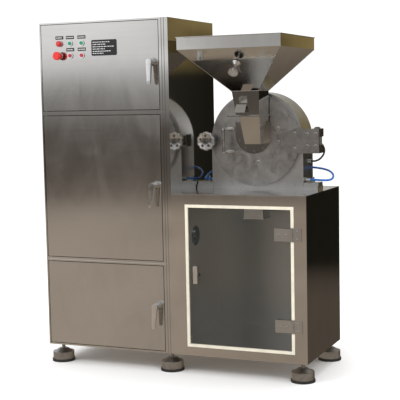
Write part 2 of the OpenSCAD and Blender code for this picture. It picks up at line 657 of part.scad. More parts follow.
module hinge_post() color(cast) site() difference() {
    x0 = axis_x + housing_r - 3;
    union() {
        box([axis_x + housing_r, 332, axis_z - 48], [axis_x + housing_r + 10, 420, axis_z + 42]);
        box([axis_x + housing_r + 5, arm_pin_y - 2, axis_z - 21.5], [arm_pin_x, arm_pin_y + 22, axis_z + 15.5]);
        bar_z(22, axis_z - 21.5, axis_z + 15.5, arm_pin_x, arm_pin_y);
        box([x0, 340, axis_z - 40], [axis_x + housing_r + cut, 410, axis_z + 34]);
    }
    bar_z(arm_pin_r + run, axis_z - 22, axis_z + 16, arm_pin_x, arm_pin_y);
}
module door_handle() color("silver") site() {
    x = 180;
    grip_y = door_y - 60;
    for (z = [axis_z - 53, axis_z + 57]) {
        bar_y(8, grip_y, door_y - 5, x, z);
        translate([x, grip_y, z]) sphere(r = 8);
        box([x - 10, door_y - 6, z - 9], [x + 36, door_y, z + 9]);
        bolt_y(x + 26, door_y - 5.5, z, 12, 5);
    }
    bar_z(8, axis_z - 53, axis_z + 57, x, grip_y);
}
knob_y = door_y - 62;
module clamp_knob() color("silver") site() difference() {
    union() {
        bar_y(46.5, knob_y, knob_y + 22, clamp_x, axis_z);
        bar_y(17, knob_y + 20, door_y - 0.5, clamp_x, axis_z);
        bar_y(stud_r, knob_y + 20, housing_y + 28, clamp_x, axis_z);
    }
    bar_y(9, knob_y - cut, knob_y + 8, clamp_x, axis_z);
    for (a = [45 : 90 : 315])
        bar_y(6.5, knob_y - cut, knob_y + 30, clamp_x + 27 * cos(a), axis_z + 27 * sin(a));
}

// ---------------------------------------------------------------- feed
wall = 3;
throat_lo = [280, 395, 150, 281, chute_flange_z + 3];
throat_hi = [260, 397, 145, 283, throat_top_z];
chute_hi = [295, 397, 150, door_y - 8, chute_flange_z - 3];
chute_lo = [303, 382, 200, door_y - 8, inlet_z - 42];
module feed_chute() color(steel) site() difference() {
    union() {
        bar_y(92, door_y - 8, door_y, axis_x - 5, inlet_z);
        box([axis_x - 97, door_y - 8, inlet_z], [axis_x + 87, door_y, inlet_z + 62]);
        frustum(chute_lo, chute_hi);
        box([237, 138, chute_flange_z - 3], [403, door_y - 2, chute_flange_z + 3]);
        frustum(throat_lo, throat_hi);
        // deflector below the sight window
        translate([290, 150, 1288]) rotate([-38, 0, 0]) box([-8, 0, -52], [44, 2, 0]);
        for (a = [200, 235, 270, 305, 340])
            bolt_y(axis_x - 5 + 80 * cos(a), door_y - 7.5, inlet_z + 80 * sin(a), 9, 4);
    }
    frustum(inset(chute_lo, wall, chute_lo[4] + wall), inset(chute_hi, wall, chute_hi[4]));
    box([299, 156, chute_flange_z - 4], [391, 277, chute_flange_z + 4]);
    frustum(inset(throat_lo, wall, throat_lo[4] - 0.01), inset(throat_hi, wall, throat_hi[4] + 0.01));
    bar_y(44, door_y - 40, door_y + cut, inlet_x, inlet_z);
    box([293, 130, 1291], [337, 165, 1325]);
}
band_x = [hopper_x - hopper_w / 2, hopper_x + hopper_w / 2];
band_y = [hopper_y - hopper_w / 2, hopper_y + hopper_w / 2];
hopper_top_z = 1600;
band_z = hopper_top_z - hopper_band_h;
funnel_hi = [band_x[0], band_x[1], band_y[0], band_y[1], band_z];
slope_rise = band_z - throat_top_z;
slope_run = throat_hi[2] - band_y[0];
slope_a = atan2(slope_rise, slope_run);
stem_x = 339;
stem_s = 187;
stem_r = 5;
// Places children on the hopper's front slope: x, distance up the slope, distance outwards
module on_slope(x, s) translate([x, throat_hi[2], throat_top_z]) rotate([180 - slope_a, 0, 0])
    translate([0, s, 0]) children();
module hopper() color(steel) site() difference() {
    union() {
        stack([throat_hi, funnel_hi, inset(funnel_hi, 0, hopper_top_z - 1)]);
        box([band_x[0] - hopper_lip, band_y[0] - hopper_lip, hopper_top_z - 3],
            [band_x[1] + hopper_lip, band_y[1] + hopper_lip, hopper_top_z]);
        for (r = [[-39, 35], [5, 36], [-39, -20], [5, -84]])
            on_slope(stem_x + r[0], stem_s + r[1]) translate([0, 0, -1]) cylinder(r = 4, h = 3.2);
    }
    stack([inset(throat_hi, wall, throat_hi[4] - cut), inset(funnel_hi, wall, funnel_hi[4]),
        inset(funnel_hi, wall, hopper_top_z + cut)]);
    on_slope(stem_x, stem_s) translate([-6, -gate_travel - 6, -8]) cube([12, gate_travel + 12, 14]);
}
gate_w = 104;
gate_top_s = stem_s + 24;
gate_low_s = 12;
module feed_gate() color("silver") site() on_slope(0, 0) difference() {
    translate([stem_x - 64, gate_low_s, -7.2]) cube([gate_w, gate_top_s - gate_low_s, 3]);
    translate([stem_x, stem_s, -10]) cylinder(r = stem_r + run, h = 10);
}
module gate_knob() color("silver") site() on_slope(stem_x, stem_s) {
    translate([0, 0, -10]) cylinder(r = stem_r, h = 63);
    translate([0, 0, -10.4]) cylinder(r = 9, h = 2.9);
    translate([0, 0, 2.8]) cylinder(r1 = 21, r2 = 9, h = 14);
    translate([0, 0, 52]) cylinder(r = 22.5, h = 14);
}

// ---------------------------------------------------------------- hoses and cable
hose_r = 5;
hose_end_y = housing_back + 17;
// A hose and the cable run straight for a little way at each end, square to their fittings
function hose_rear(x, z) = [for (d = [16, 8, 0]) [x, hose_end_y + d, z]];
hose_routes = [
    concat([[582, 348, 916], [591, 348, 916], [600, 348, 916], [640, 352, 914], [668, 372, 914], [677, 402, 922],
        [668, 434, 938], [640, 464, 952], [600, 488, 960], [556, hose_end_y + 8, 964],
        [525, hose_end_y + 20, 965]], hose_rear(500, 965)),
    concat([[72, 348, 916], [63, 348, 916], [54, 348, 916], [34, 354, 914], [20, 374, 914], [15, 402, 922],
        [20, 434, 938], [42, 464, 952], [76, hose_end_y + 2, 960], [112, hose_end_y + 18, 964]],
        hose_rear(140, 965))];
cable_y = 430;
cable_route = [for (p = [[563, 1098], [571, 1098], [580, 1098], [603, 1092], [620, 1077], [628, 1055],
    [622, 1032], [606, 1013], [590, 1004], [578, 1001], [570, 1001], [563, 1001]]) [p[0], cable_y, p[1]]];
// One fitting on the housing's side, the other on its back, at each end of a hose
module hose_fittings() color("silver") site() {
    for (route = hose_routes) {
        start = route[0];
        finish = route[len(route) - 1];
        right = start[0] > axis_x;
        side_x = axis_x + (right ? 1 : -1) * (housing_r - 3);
        hex_x = side_x + (right ? 10 : -10);
        bar_x(11, min(side_x, hex_x), max(side_x, hex_x), start[1], start[2]);
        bar_x(8, min(start[0], side_x), max(start[0], side_x), start[1], start[2]);
        bar_y(11, housing_back, housing_back + 9, finish[0], finish[2]);
        bar_y(8, housing_back, hose_end_y, finish[0], finish[2]);
    }
    for (p = [cable_route[0], cable_route[len(cable_route) - 1]])
        bar_x(9, axis_x + housing_r - 3, p[0], p[1], p[2]);
}
module air_hoses() color("dodgerblue") site()
    for (route = hose_routes) sweep_tube(smooth_route(route, 2), hose_r, [0, 0, 1]);
module control_cable() color(dark) site() sweep_tube(smooth_route(cable_route, 2), 4.5, [0, 1, 0]);

left_casing();
left_front_frame();
door_hinge_pins();
tube_sheet();
dust_shelf();
control_door();
filter_door();
dust_door();
top_lever();
middle_lever();
bottom_lever();
pilot_lamp();
emergency_stop();
start_button_1();
start_button_2();
stop_button_1();
stop_button_2();
control_bezels();
legend_plates();
electrical_panel();
fan_housing();
fan_impeller();
fan_motor();
filter_bags();
dust_bin();
levelling_feet();
right_casing();
table_top();
right_front_frame();
door_seal();
glass_door();
glass_clamps();
glass_hinge_blocks();
door_lock();
mill_housing();
sieve_screen();
rotor();
hammers_1();
hammers_2();
hammers_3();
hammers_4();
bearing_housing();
bearings();
mill_pulley();
motor_pulley();
drive_belts();
motor();
belt_guard();
mill_door();
hinge_arm();
hinge_post();
door_handle();
clamp_knob();
feed_chute();
hopper();
feed_gate();
gate_knob();
hose_fittings();
air_hoses();
control_cable();
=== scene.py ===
import math
import random

import bmesh
import bpy
from mathutils import Matrix, Vector


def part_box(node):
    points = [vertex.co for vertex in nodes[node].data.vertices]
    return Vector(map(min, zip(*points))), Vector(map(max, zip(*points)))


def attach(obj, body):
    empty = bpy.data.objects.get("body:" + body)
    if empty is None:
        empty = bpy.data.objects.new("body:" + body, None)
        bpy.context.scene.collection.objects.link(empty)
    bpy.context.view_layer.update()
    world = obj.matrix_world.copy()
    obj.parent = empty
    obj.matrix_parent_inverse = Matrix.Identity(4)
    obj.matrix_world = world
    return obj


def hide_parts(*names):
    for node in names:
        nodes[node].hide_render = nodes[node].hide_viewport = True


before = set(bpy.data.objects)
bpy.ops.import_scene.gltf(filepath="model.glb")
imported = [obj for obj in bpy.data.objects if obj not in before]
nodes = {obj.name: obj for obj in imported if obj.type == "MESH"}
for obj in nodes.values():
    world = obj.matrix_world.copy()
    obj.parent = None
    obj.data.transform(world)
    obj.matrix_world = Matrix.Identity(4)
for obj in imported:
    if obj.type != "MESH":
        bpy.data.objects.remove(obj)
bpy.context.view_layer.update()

scene = bpy.context.scene

# The cabinets meet at x = 0 of the design, and their fronts lie at y = 0
front_lo, front_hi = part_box("left_front_frame")
SHIFT_X, SHIFT_Y = front_hi[0], front_lo[1]


def at(x, y, z):
    """A point of the design, in millimetres, as a point of the row frame in metres."""
    return Vector((x / 1000 + SHIFT_X, y / 1000 + SHIFT_Y, z / 1000))


def centre(node):
    lo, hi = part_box(node)
    return [(a + b) / 2 for a, b in zip(lo, hi)]


# Places of the design that several pieces use, in millimetres
AXIS_X, AXIS_Z = 320, 1108              # the rotor's axis
HOUSING_BACK_Y = 480                    # back of the mill housing
ARM_FRONT_Y, MILL_DOOR_FRONT_Y = 280, 290
CASE_BACK_Y = 553                       # back of the left cabinet
GUARD_LEFT_X, GUARD_RIGHT_X = 90, 550   # sides of the drive guard
THROAT_TOP_Z, THROAT_LOW_Z = 1348, 1233
BAND_LOW_Z, BAND_TOP_Z = 1542, 1598     # the hopper's upright band
BACKWARD = (0, 1, 0)
UPWARD = (0, 0, 1)


# ---------------------------------------------------------------- camera
YAW, PITCH, ROLL = (math.radians(a) for a in (23.281, 5.546, -1.158))
view_dir = Vector((-math.sin(YAW) * math.cos(PITCH), math.cos(YAW) * math.cos(PITCH), -math.sin(PITCH)))
side = view_dir.cross(Vector((0, 0, 1))).normalized()
up = side.cross(view_dir)
cam_x = math.cos(ROLL) * side + math.sin(ROLL) * up
cam_y = -math.sin(ROLL) * side + math.cos(ROLL) * up
camera_data = bpy.data.cameras.new("camera")
camera_data.sensor_width = 36
camera_data.lens = 95.43
camera = bpy.data.objects.new("camera", camera_data)
pose = Matrix((cam_x, cam_y, -view_dir)).transposed().to_4x4()
pose.translation = at(2106.2, -4549.9, 1323.75)
camera.matrix_world = pose
scene.collection.objects.link(camera)
scene.camera = camera


# ---------------------------------------------------------------- materials
class Nodes:
    """A small helper round a material's node tree: a new material, or more nodes for a given one."""

    def __init__(self, name, mat=None):
        self.mat = mat or bpy.data.materials.new(name)
        self.mat.use_nodes = True
        self.tree = self.mat.node_tree
        self.shader = self.tree.nodes["Principled BSDF"]
        self.coords = self.new("ShaderNodeTexCoord").outputs["Object"]

    def new(self, kind, **settings):
        node = self.tree.nodes.new(kind)
        for key, value in settings.items():
            setattr(node, key, value)
        return node

    def link(self, a, b):
        self.tree.links.new(a, b)

    def noise(self, scale, detail=4, stretch=(1, 1, 1), rough=0.55, distortion=0):
        mapping = self.new("ShaderNodeMapping")
        mapping.inputs["Scale"].default_value = stretch
        self.link(self.coords, mapping.inputs["Vector"])
        tex = self.new("ShaderNodeTexNoise")
        tex.inputs["Scale"].default_value = scale
        tex.inputs["Detail"].default_value = detail
        tex.inputs["Roughness"].default_value = rough
        tex.inputs["Distortion"].default_value = distortion
        self.link(mapping.outputs["Vector"], tex.inputs["Vector"])
        return tex.outputs["Fac"]

    def ramp(self, fac, stops):
        node = self.new("ShaderNodeValToRGB")
        elements = node.color_ramp.elements
        while len(elements) < len(stops):
            elements.new(0.5)
        for element, (place, colour) in zip(elements, stops):
            element.position = place
            element.color = (*colour, 1)
        self.link(fac, node.inputs["Fac"])
        return node.outputs["Color"]

    def spread(self, fac, low, high, lo_in=0.3, hi_in=0.7):
        node = self.new("ShaderNodeMapRange")
        for key, value in (("From Min", lo_in), ("From Max", hi_in), ("To Min", low), ("To Max", high)):
            node.inputs[key].default_value = value
        self.link(fac, node.inputs["Value"])
        return node.outputs["Result"]

    def mix(self, fac, a, b):
        node = self.new("ShaderNodeMix", data_type="RGBA")
        for socket, value in ((node.inputs[0], fac), (node.inputs[6], a), (node.inputs[7], b)):
            if isinstance(value, (int, float)):
                socket.default_value = value
            elif isinstance(value, (tuple, list)):
                socket.default_value = (*value, 1)
            else:
                self.link(value, socket)
        return node.outputs[2]

    def math(self, op, a, b=None):
        node = self.new("ShaderNodeMath", operation=op)
        for socket, value in zip(node.inputs, (a, b)):
            if isinstance(value, (int, float)):
                socket.default_value = value
            elif value is not None:
                self.link(value, socket)
        return node.outputs[0]

    def bump(self, *layers):
        """layers are (height, strength, distance in metres), laid over each other"""
        last = None
        for height, strength, distance in layers:
            node = self.new("ShaderNodeBump")
            node.inputs["Strength"].default_value = strength
            node.inputs["Distance"].default_value = distance
            self.link(height, node.inputs["Height"])
            if last is not None:
                self.link(last, node.inputs["Normal"])
            last = node.outputs["Normal"]
        self.link(last, self.shader.inputs["Normal"])

    def set(self, **values):
        for key, value in values.items():
            socket = self.shader.inputs[key.replace("_", " ")]
            if isinstance(value, (int, float)):
                socket.default_value = value
            elif isinstance(value, (tuple, list)):
                socket.default_value = (*value, 1)
            else:
                self.link(value, socket)
        return self


def shade(colour, factor):
    return tuple(min(1, c * factor) for c in colour)


def steel(name, colour, rough=0.11, grain=(3, 3, 260), wave=0.10, smudge=0.07, line=0.012):
    """Polished stainless sheet: faint grain lines, slow waviness of the sheet and wiped smudges."""
    m = Nodes(name)
    slow = m.noise(1.5, 2)
    wiped = m.noise(7, 5, (1, 1, 0.45), 0.6, 0.6)
    lines = m.noise(1, 3, grain, 0.7)
    base = m.ramp(wiped, [(0.30, shade(colour, 0.92)), (0.62, colour), (0.85, shade(colour, 1.08))])
    base = m.mix(m.spread(lines, 0, 0.10), base, shade(colour, 0.78))
    both = m.math("ADD", m.spread(wiped, rough, rough + smudge), m.spread(lines, -0.012, 0.02))
    m.set(Base_Color=base, Metallic=1.0, Roughness=both)
    m.bump((slow, wave, 0.006), (lines, line, 0.0004))
    return m.mat


def cabinet_steel(name, colour, lo, hi):
    """Mirror steel outside; inside, where inside means within the box lo to hi, a duller sheet whose base
    colour is also darkened as painted shade.
    """
    m = Nodes(name, steel(name, colour, 0.045, (3, 3, 220), 0.05, 0.05))
    split = m.new("ShaderNodeSeparateXYZ")
    m.link(m.coords, split.inputs[0])
    inside = 1.0
    for axis in range(3):
        inside = m.math("MULTIPLY", m.math("GREATER_THAN", split.outputs[axis], lo[axis]), inside)
        inside = m.math("MULTIPLY", m.math("LESS_THAN", split.outputs[axis], hi[axis]), inside)
    # Inside: base colour darkened to 0.86 as painted shade of the chamber, roughness 0.30 for the duller
    # sheet
    for key, shaded_and_rough in (("Base Color", shade(colour, 0.86)), ("Roughness", (0.30, 0.30, 0.30))):
        socket = m.shader.inputs[key]
        before = socket.links[0].from_socket
        m.link(m.mix(inside, before, shaded_and_rough), socket)
    return m.mat


def satin(name, colour, low=0.30, high=0.46, mottle=0.30, scale=16, rings=None, grain=0.10):
    """Machined or cast metal: grey mottling, fine pores, and turning marks round a centre."""
    m = Nodes(name)
    cloud = m.noise(scale, 7, (1, 1, 1), 0.62, 0.9)
    spots = m.noise(scale * 5, 4)
    pores = m.noise(900, 2)
    base = m.ramp(cloud, [(0.28, shade(colour, 1 - mottle)), (0.50, colour),
                          (0.72, shade(colour, 1 + mottle * 0.7))])
    base = m.mix(m.spread(spots, 0, 0.22), base, shade(colour, 0.62))
    m.set(Base_Color=base, Metallic=1.0, Roughness=m.spread(cloud, low, high))
    layers = [(spots, grain, 0.0006), (pores, grain, 0.0002)]
    if rings:
        mapping = m.new("ShaderNodeMapping")
        mapping.inputs["Location"].default_value = [-c for c in rings]
        m.link(m.coords, mapping.inputs["Vector"])
        wave = m.new("ShaderNodeTexWave", wave_type="RINGS", rings_direction="Y")
        wave.inputs["Scale"].default_value = 130
        wave.inputs["Distortion"].default_value = 1.2
        wave.inputs["Detail"].default_value = 3
        m.link(mapping.outputs["Vector"], wave.inputs["Vector"])
        layers.append((wave.outputs["Fac"], 0.05, 0.0003))
    m.bump(*layers)
    return m.mat


def chrome(name, colour=(0.82, 0.82, 0.82), rough=0.07):
    m = Nodes(name)
    worn = m.noise(30, 5, (1, 1, 1), 0.6, 0.4)
    m.set(Base_Color=m.ramp(worn, [(0.3, shade(colour, 0.86)), (0.7, colour)]), Metallic=1.0,
          Roughness=m.spread(worn, rough, rough + 0.12))
    m.bump((m.noise(60, 3), 0.04, 0.0006))
    return m.mat


def plastic(name, colour, rough=0.35, vary=0.12, grain=300, bump=0.06, coat=0.0):
    m = Nodes(name)
    blotch = m.noise(22, 4)
    fine = m.noise(grain, 3)
    m.set(Base_Color=m.ramp(blotch, [(0.3, shade(colour, 1 - vary)), (0.7, shade(colour, 1 + vary))]),
          Roughness=m.spread(fine, rough * 0.85, rough * 1.2), Coat_Weight=coat)
    m.bump((fine, bump, 0.0003))
    return m.mat


def paint(name, colour, rough=0.38):
    """Sprayed enamel with orange peel and patches of dust laid by noise."""
    m = Nodes(name)
    dust = m.noise(11, 6, (1, 1, 1), 0.65)
    peel = m.noise(420, 2)
    m.set(Base_Color=m.ramp(dust, [(0.35, shade(colour, 0.85)), (0.75, shade(colour, 1.12))]),
          Roughness=m.spread(dust, rough, rough + 0.15), Coat_Weight=0.15)
    m.bump((peel, 0.12, 0.0003))
    return m.mat


def cloth(name, colour):
    """Needle felt: a tangle of short fibres over a plain weave."""
    m = Nodes(name)
    fibre = m.noise(700, 6, (1, 1, 0.4), 0.7, 1.5)
    weave = m.new("ShaderNodeTexWave", wave_type="BANDS", bands_direction="Z")
    weave.inputs["Scale"].default_value = 180
    weave.inputs["Distortion"].default_value = 3
    m.link(m.coords, weave.inputs["Vector"])
    dust = m.noise(6, 5)
    base = m.mix(m.spread(fibre, 0, 0.35), colour, shade(colour, 0.72))
    base = m.mix(m.spread(dust, 0, 0.30), base, (0.42, 0.34, 0.22))
    m.set(Base_Color=base, Roughness=0.92, Sheen_Weight=0.25)
    m.bump((fibre, 0.35, 0.0008), (weave.outputs["Fac"], 0.15, 0.0005))
    return m.mat


def pane(name):
    m = Nodes(name)
    haze = m.noise(5, 5, (1, 1, 0.5), 0.6, 0.5)
    m.set(Base_Color=m.ramp(haze, [(0.3, (0.05, 0.06, 0.055)), (0.75, (0.10, 0.115, 0.11))]),
          Roughness=m.spread(haze, 0.02, 0.07), Alpha=0.12, IOR=1.5)
    return m.mat


SOLE_TOP = 0.0121


def foot_metal(name):
    """Zinc pad above, black rubber sole below."""
    m = Nodes(name)
    split = m.new("ShaderNodeSeparateXYZ")
    m.link(m.coords, split.inputs[0])
    metal = m.math("GREATER_THAN", split.outputs[2], SOLE_TOP)
    stain = m.noise(26, 6, (1, 1, 1), 0.65, 0.7)
    zinc = m.ramp(stain, [(0.3, (0.34, 0.325, 0.305)), (0.55, (0.47, 0.455, 0.435)),
                          (0.8, (0.57, 0.56, 0.545))])
    fine = m.noise(380, 3)
    worn = m.spread(stain, 0.34, 0.50)
    rubber = m.math("MULTIPLY", m.math("SUBTRACT", 1, metal), 0.2)
    m.set(Base_Color=m.mix(metal, (0.022, 0.020, 0.019), zinc), Metallic=metal,
          Roughness=m.math("ADD", worn, rubber))
    m.bump((fine, 0.10, 0.0004))
    return m.mat


mill_axis = (centre("rotor")[0], centre("mill_door")[1], centre("rotor")[2])

SHEET = (0.64, 0.63, 0.61)
WARM = (0.66, 0.635, 0.60)
m_steel = steel("polished_steel", SHEET, 0.035, (3, 3, 260), 0.05, 0.03)
m_door = steel("door_steel", SHEET, 0.075, (3, 3, 260), 0.06, 0.07)
m_warm = steel("cabinet_steel", WARM, 0.045, (3, 3, 220), 0.05, 0.05)
case_lo, case_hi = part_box("right_casing")
SKIN = 0.0015       # half a sheet: what lies deeper than this in the casing's box is its inside
# The casing's inside gets a darker base colour: painted shade of the chamber behind the glass
m_case = cabinet_steel("cabinet_case_steel", WARM, [v + SKIN for v in case_lo], [v - SKIN for v in case_hi])
m_table = steel("table_steel", (0.68, 0.675, 0.665), 0.09, (220, 3, 3), 0.05, 0.10)
m_hopper = steel("hopper_steel", (0.66, 0.645, 0.615), 0.045, (240, 3, 3), 0.06, 0.04)
m_brushed = steel("brushed_steel", (0.60, 0.595, 0.585), 0.24, (260, 3, 3), 0.03, 0.10, 0.03)
m_cast = satin("cast_grey", (0.47, 0.465, 0.455), 0.25, 0.40, 0.34, 15, mill_axis)
m_arch = satin("arch_satin", (0.62, 0.62, 0.61), 0.26, 0.36, 0.10, 9)
m_arm = satin("arm_cast", (0.36, 0.35, 0.335), 0.26, 0.38, 0.28, 24)
m_dark = satin("dark_steel", (0.20, 0.20, 0.205), 0.30, 0.50, 0.30, 30)
m_chrome = chrome("bright_chrome")
m_bolt = chrome("bolt_zinc", (0.66, 0.655, 0.64), 0.16)
m_red = plastic("red_plastic", (0.62, 0.016, 0.014), 0.22, 0.08, 300, 0.03, 0.5)
m_green = plastic("green_plastic", (0.010, 0.230, 0.110), 0.25, 0.10, 300, 0.03, 0.4)
m_stop = plastic("stop_button_red", (0.36, 0.012, 0.035), 0.25, 0.10, 300, 0.03, 0.4)
m_lamp = plastic("lamp_lens", (0.52, 0.008, 0.014), 0.12, 0.10, 90, 0.10, 0.8)
m_label = plastic("black_label", (0.016, 0.017, 0.018), 0.42, 0.15, 500, 0.08)
m_print = plastic("label_print", (0.55, 0.55, 0.54), 0.5, 0.10, 500, 0.05)
m_switch = paint("switchgear", (0.66, 0.66, 0.64))
m_fan = paint("fan_paint", (0.20, 0.26, 0.31))
m_motor = paint("motor_paint", (0.045, 0.13, 0.22))
m_felt = cloth("filter_cloth", (0.80, 0.77, 0.68))
m_foot = foot_metal("foot_metal")
m_seal = plastic("white_seal", (0.66, 0.61, 0.50), 0.5, 0.08, 240, 0.15)
m_glass = pane("clear_glass")
m_rubber = plastic("black_rubber", (0.014, 0.014, 0.015), 0.48, 0.2, 350, 0.15)
m_hose = plastic("blue_hose", (0.005, 0.115, 0.42), 0.26, 0.10, 200, 0.05, 0.5)

NODE_MATERIALS = {
    m_steel: "left_casing left_front_frame",
    m_door: "control_door filter_door dust_door",
    m_warm: "right_front_frame",
    m_case: "right_casing",
    m_table: "table_top",
    m_hopper: "hopper feed_chute",
    m_brushed: "door_hinge_pins tube_sheet dust_shelf dust_bin sieve_screen belt_guard glass_clamps "
               "glass_hinge_blocks feed_gate bearings fan_impeller",
    m_cast: "mill_door bearing_housing",
    m_arch: "mill_housing",
    m_arm: "hinge_arm hinge_post",
    m_chrome: "top_lever middle_lever bottom_lever door_lock door_handle clamp_knob gate_knob hose_fittings "
              "control_bezels",
    m_dark: "rotor hammers_1 hammers_2 hammers_3 hammers_4 mill_pulley motor_pulley",
    m_red: "emergency_stop",
    m_stop: "stop_button_1 stop_button_2",
    m_green: "start_button_1 start_button_2",
    m_lamp: "pilot_lamp",
    m_label: "legend_plates",
    m_switch: "electrical_panel",
    m_fan: "fan_housing",
    m_motor: "fan_motor motor",
    m_felt: "filter_bags",
    m_foot: "levelling_feet",
    m_seal: "door_seal",
    m_glass: "glass_door",
    m_rubber: "drive_belts control_cable",
    m_hose: "air_hoses",
}
for material, names in NODE_MATERIALS.items():
    for name in names.split():
        for place in nodes[name].material_slots:
            place.material = material


def round_edges(names, width, segments=2):
    """A bevel modifier on CAD nodes, so that edges catch the light as real ones do."""
    for name in names.split():
        bevel = nodes[name].modifiers.new("edges", "BEVEL")
        bevel.width = width / 1000
        bevel.segments = segments
        bevel.limit_method = "ANGLE"
        bevel.angle_limit = math.radians(40)
        bevel.use_clamp_overlap = True


round_edges("control_door filter_door dust_door left_front_frame right_front_frame table_top", 1.0)
round_edges("mill_housing mill_door hinge_arm door_lock glass_clamps glass_hinge_blocks", 0.9)
round_edges("hopper feed_chute door_seal levelling_feet emergency_stop pilot_lamp", 0.8)
round_edges("start_button_1 start_button_2 stop_button_1 stop_button_2 control_bezels gate_knob", 0.7)
round_edges("top_lever middle_lever bottom_lever hinge_post electrical_panel motor fan_motor", 1.2)


# ---------------------------------------------------------------- mesh helpers
def piece(name, verts, faces, material, body, slot, smooth=True, sharp=40):
    mesh = bpy.data.meshes.new(name)
    mesh.from_pydata([tuple(v) for v in verts], [], faces)
    mesh.update()
    bm = bmesh.new()
    bm.from_mesh(mesh)
    bmesh.ops.remove_doubles(bm, verts=bm.verts, dist=1e-6)
    bmesh.ops.recalc_face_normals(bm, faces=bm.faces)
    for edge in bm.edges:
        if len(edge.link_faces) == 2 and edge.calc_face_angle(0) > math.radians(sharp):
            edge.smooth = False
    for face in bm.faces:
        face.smooth = smooth
    bm.to_mesh(mesh)
    bm.free()
    mesh.materials.append(material)
    obj = bpy.data.objects.new(name, mesh)
    scene.collection.objects.link(obj)
    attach(obj, body)
    return obj


class Build:
    """Collects several closed shapes into one mesh."""

    def __init__(self):
        self.verts, self.faces = [], []

    def add(self, verts, faces):
        first = len(self.verts)
        self.verts += [Vector(v) for v in verts]
        self.faces += [tuple(first + i for i in f) for f in faces]
        return self

    def lathe(self, origin, axis, profile, n=32, wobble=None):
        """profile is (radius, height) in metres; wobble, if given, scales a radius by its angle."""
        axis = Vector(axis).normalized()
        ref = Vector((0, 0, 1)) if abs(axis.z) < 0.9 else Vector((1, 0, 0))
        u = axis.cross(ref).normalized()
        v = axis.cross(u)
        origin = Vector(origin)
        rings = []
        for r, h in profile:
            for k in range(n):
                a = 2 * math.pi * k / n
                rr = r * (wobble(a) if wobble and r > 0 else 1)
                rings.append(origin + axis * h + rr * (math.cos(a) * u + math.sin(a) * v))
        faces = []
        for i in range(len(profile) - 1):
            for k in range(n):
                a, b = i * n + k, i * n + (k + 1) % n
                faces.append((a, b, b + n, a + n))
        faces.append(tuple(range(n - 1, -1, -1)))
        last = (len(profile) - 1) * n
        faces.append(tuple(range(last, last + n)))
        return self.add(rings, faces)

    def tube(self, points, r, n=10, closed=False):
        points = [Vector(p) for p in points]
        count = len(points)
        frames = []
        normal = None
        for i in range(count):
            a = points[(i - 1) % count] if closed or i else points[0]
            b = points[(i + 1) % count] if closed or i < count - 1 else points[-1]
            t = (b - a).normalized()
            if normal is None:
                ref = Vector((0, 0, 1)) if abs(t.z) < 0.9 else Vector((1, 0, 0))
                normal = t.cross(ref).normalized()
            normal = (normal - t * normal.dot(t)).normalized()
            frames.append((normal.copy(), t.cross(normal)))
        verts = [p + r * (math.cos(2 * math.pi * k / n) * f[0] + math.sin(2 * math.pi * k / n) * f[1])
                 for p, f in zip(points, frames) for k in range(n)]
        faces = []
        for i in range(count if closed else count - 1):
            j = (i + 1) % count
            for k in range(n):
                faces.append((i * n + k, i * n + (k + 1) % n, j * n + (k + 1) % n, j * n + k))
        if not closed:
            faces.append(tuple(range(n - 1, -1, -1)))
            faces.append(tuple(range((count - 1) * n, count * n)))
        return self.add(verts, faces)

    def slab(self, lo, hi, edge=0.0):
        """A box whose front (low y) edges are chamfered by edge."""
        (x0, y0, z0), (x1, y1, z1) = lo, hi
        e = edge
        front = [(x0 + e, y0, z0 + e), (x1 - e, y0, z0 + e), (x1 - e, y0, z1 - e), (x0 + e, y0, z1 - e)]
        mid = [(x0, y0 + e, z0), (x1, y0 + e, z0), (x1, y0 + e, z1), (x0, y0 + e, z1)]
        back = [(x0, y1, z0), (x1, y1, z0), (x1, y1, z1), (x0, y1, z1)]
        verts = front + mid + back
        faces = [(0, 1, 2, 3), (11, 10, 9, 8)]
        for base in (0, 4):
            for k in range(4):
                j = (k + 1) % 4
                faces.append((base + k, base + 4 + k, base + 4 + j, base + j))
        return self.add(verts, faces)

    def done(self, name, material, body, slot, **kw):
        return piece(name, self.verts, self.faces, material, body, slot, **kw)


def screw(build, x, y, z, r=3.4, h=2.0, axis=(0, -1, 0)):
    """A button-head screw with a socket, standing off a face at the design point."""
    r, h = r / 1000, h / 1000
    profile = [(r, -0.0004), (r, h * 0.35), (r * 0.86, h * 0.75),
               (r * 0.55, h), (r * 0.42, h), (r * 0.40, h * 0.3)]
    build.lathe(at(x, y, z), axis, profile, 20)


def washer(build, x, y, z, r=11, h=1.2, axis=(0, -1, 0)):
    """A flat washer with a softened rim."""
    profile = [(r / 1000, -0.0002), (r / 1000, h / 1000 * 0.7),
               (r / 1000 * 0.93, h / 1000), (0.004, h / 1000)]
    build.lathe(at(x, y, z), axis, profile, 28)


def smooth_points(points, steps=6):
    """Catmull-Rom points through a route."""
    pts = [Vector(p) for p in points]
    out = []
    for i in range(len(pts) - 1):
        a, b, c, d = pts[max(i - 1, 0)], pts[i], pts[i + 1], pts[min(i + 2, len(pts) - 1)]
        for k in range(steps):
            t = k / steps
            out.append(0.5 * (2 * b + (c - a) * t + (2 * a - 5 * b + 4 * c - d) * t * t
                              + (3 * b - a - 3 * c + d) * t ** 3))
    return out + [pts[-1]]


# ---------------------------------------------------------------- hoses and cable
# The routes repeat those of the design's own tubes
HOSE_R, CABLE_R = 0.005, 0.0045
CABLE_Y = 430
hose_end_y = HOUSING_BACK_Y + 17


def hose_rear(x, z):
    """The straight end of a hose, square to its fitting on the housing's back."""
    return [(x, hose_end_y + d, z) for d in (16, 8, 0)]


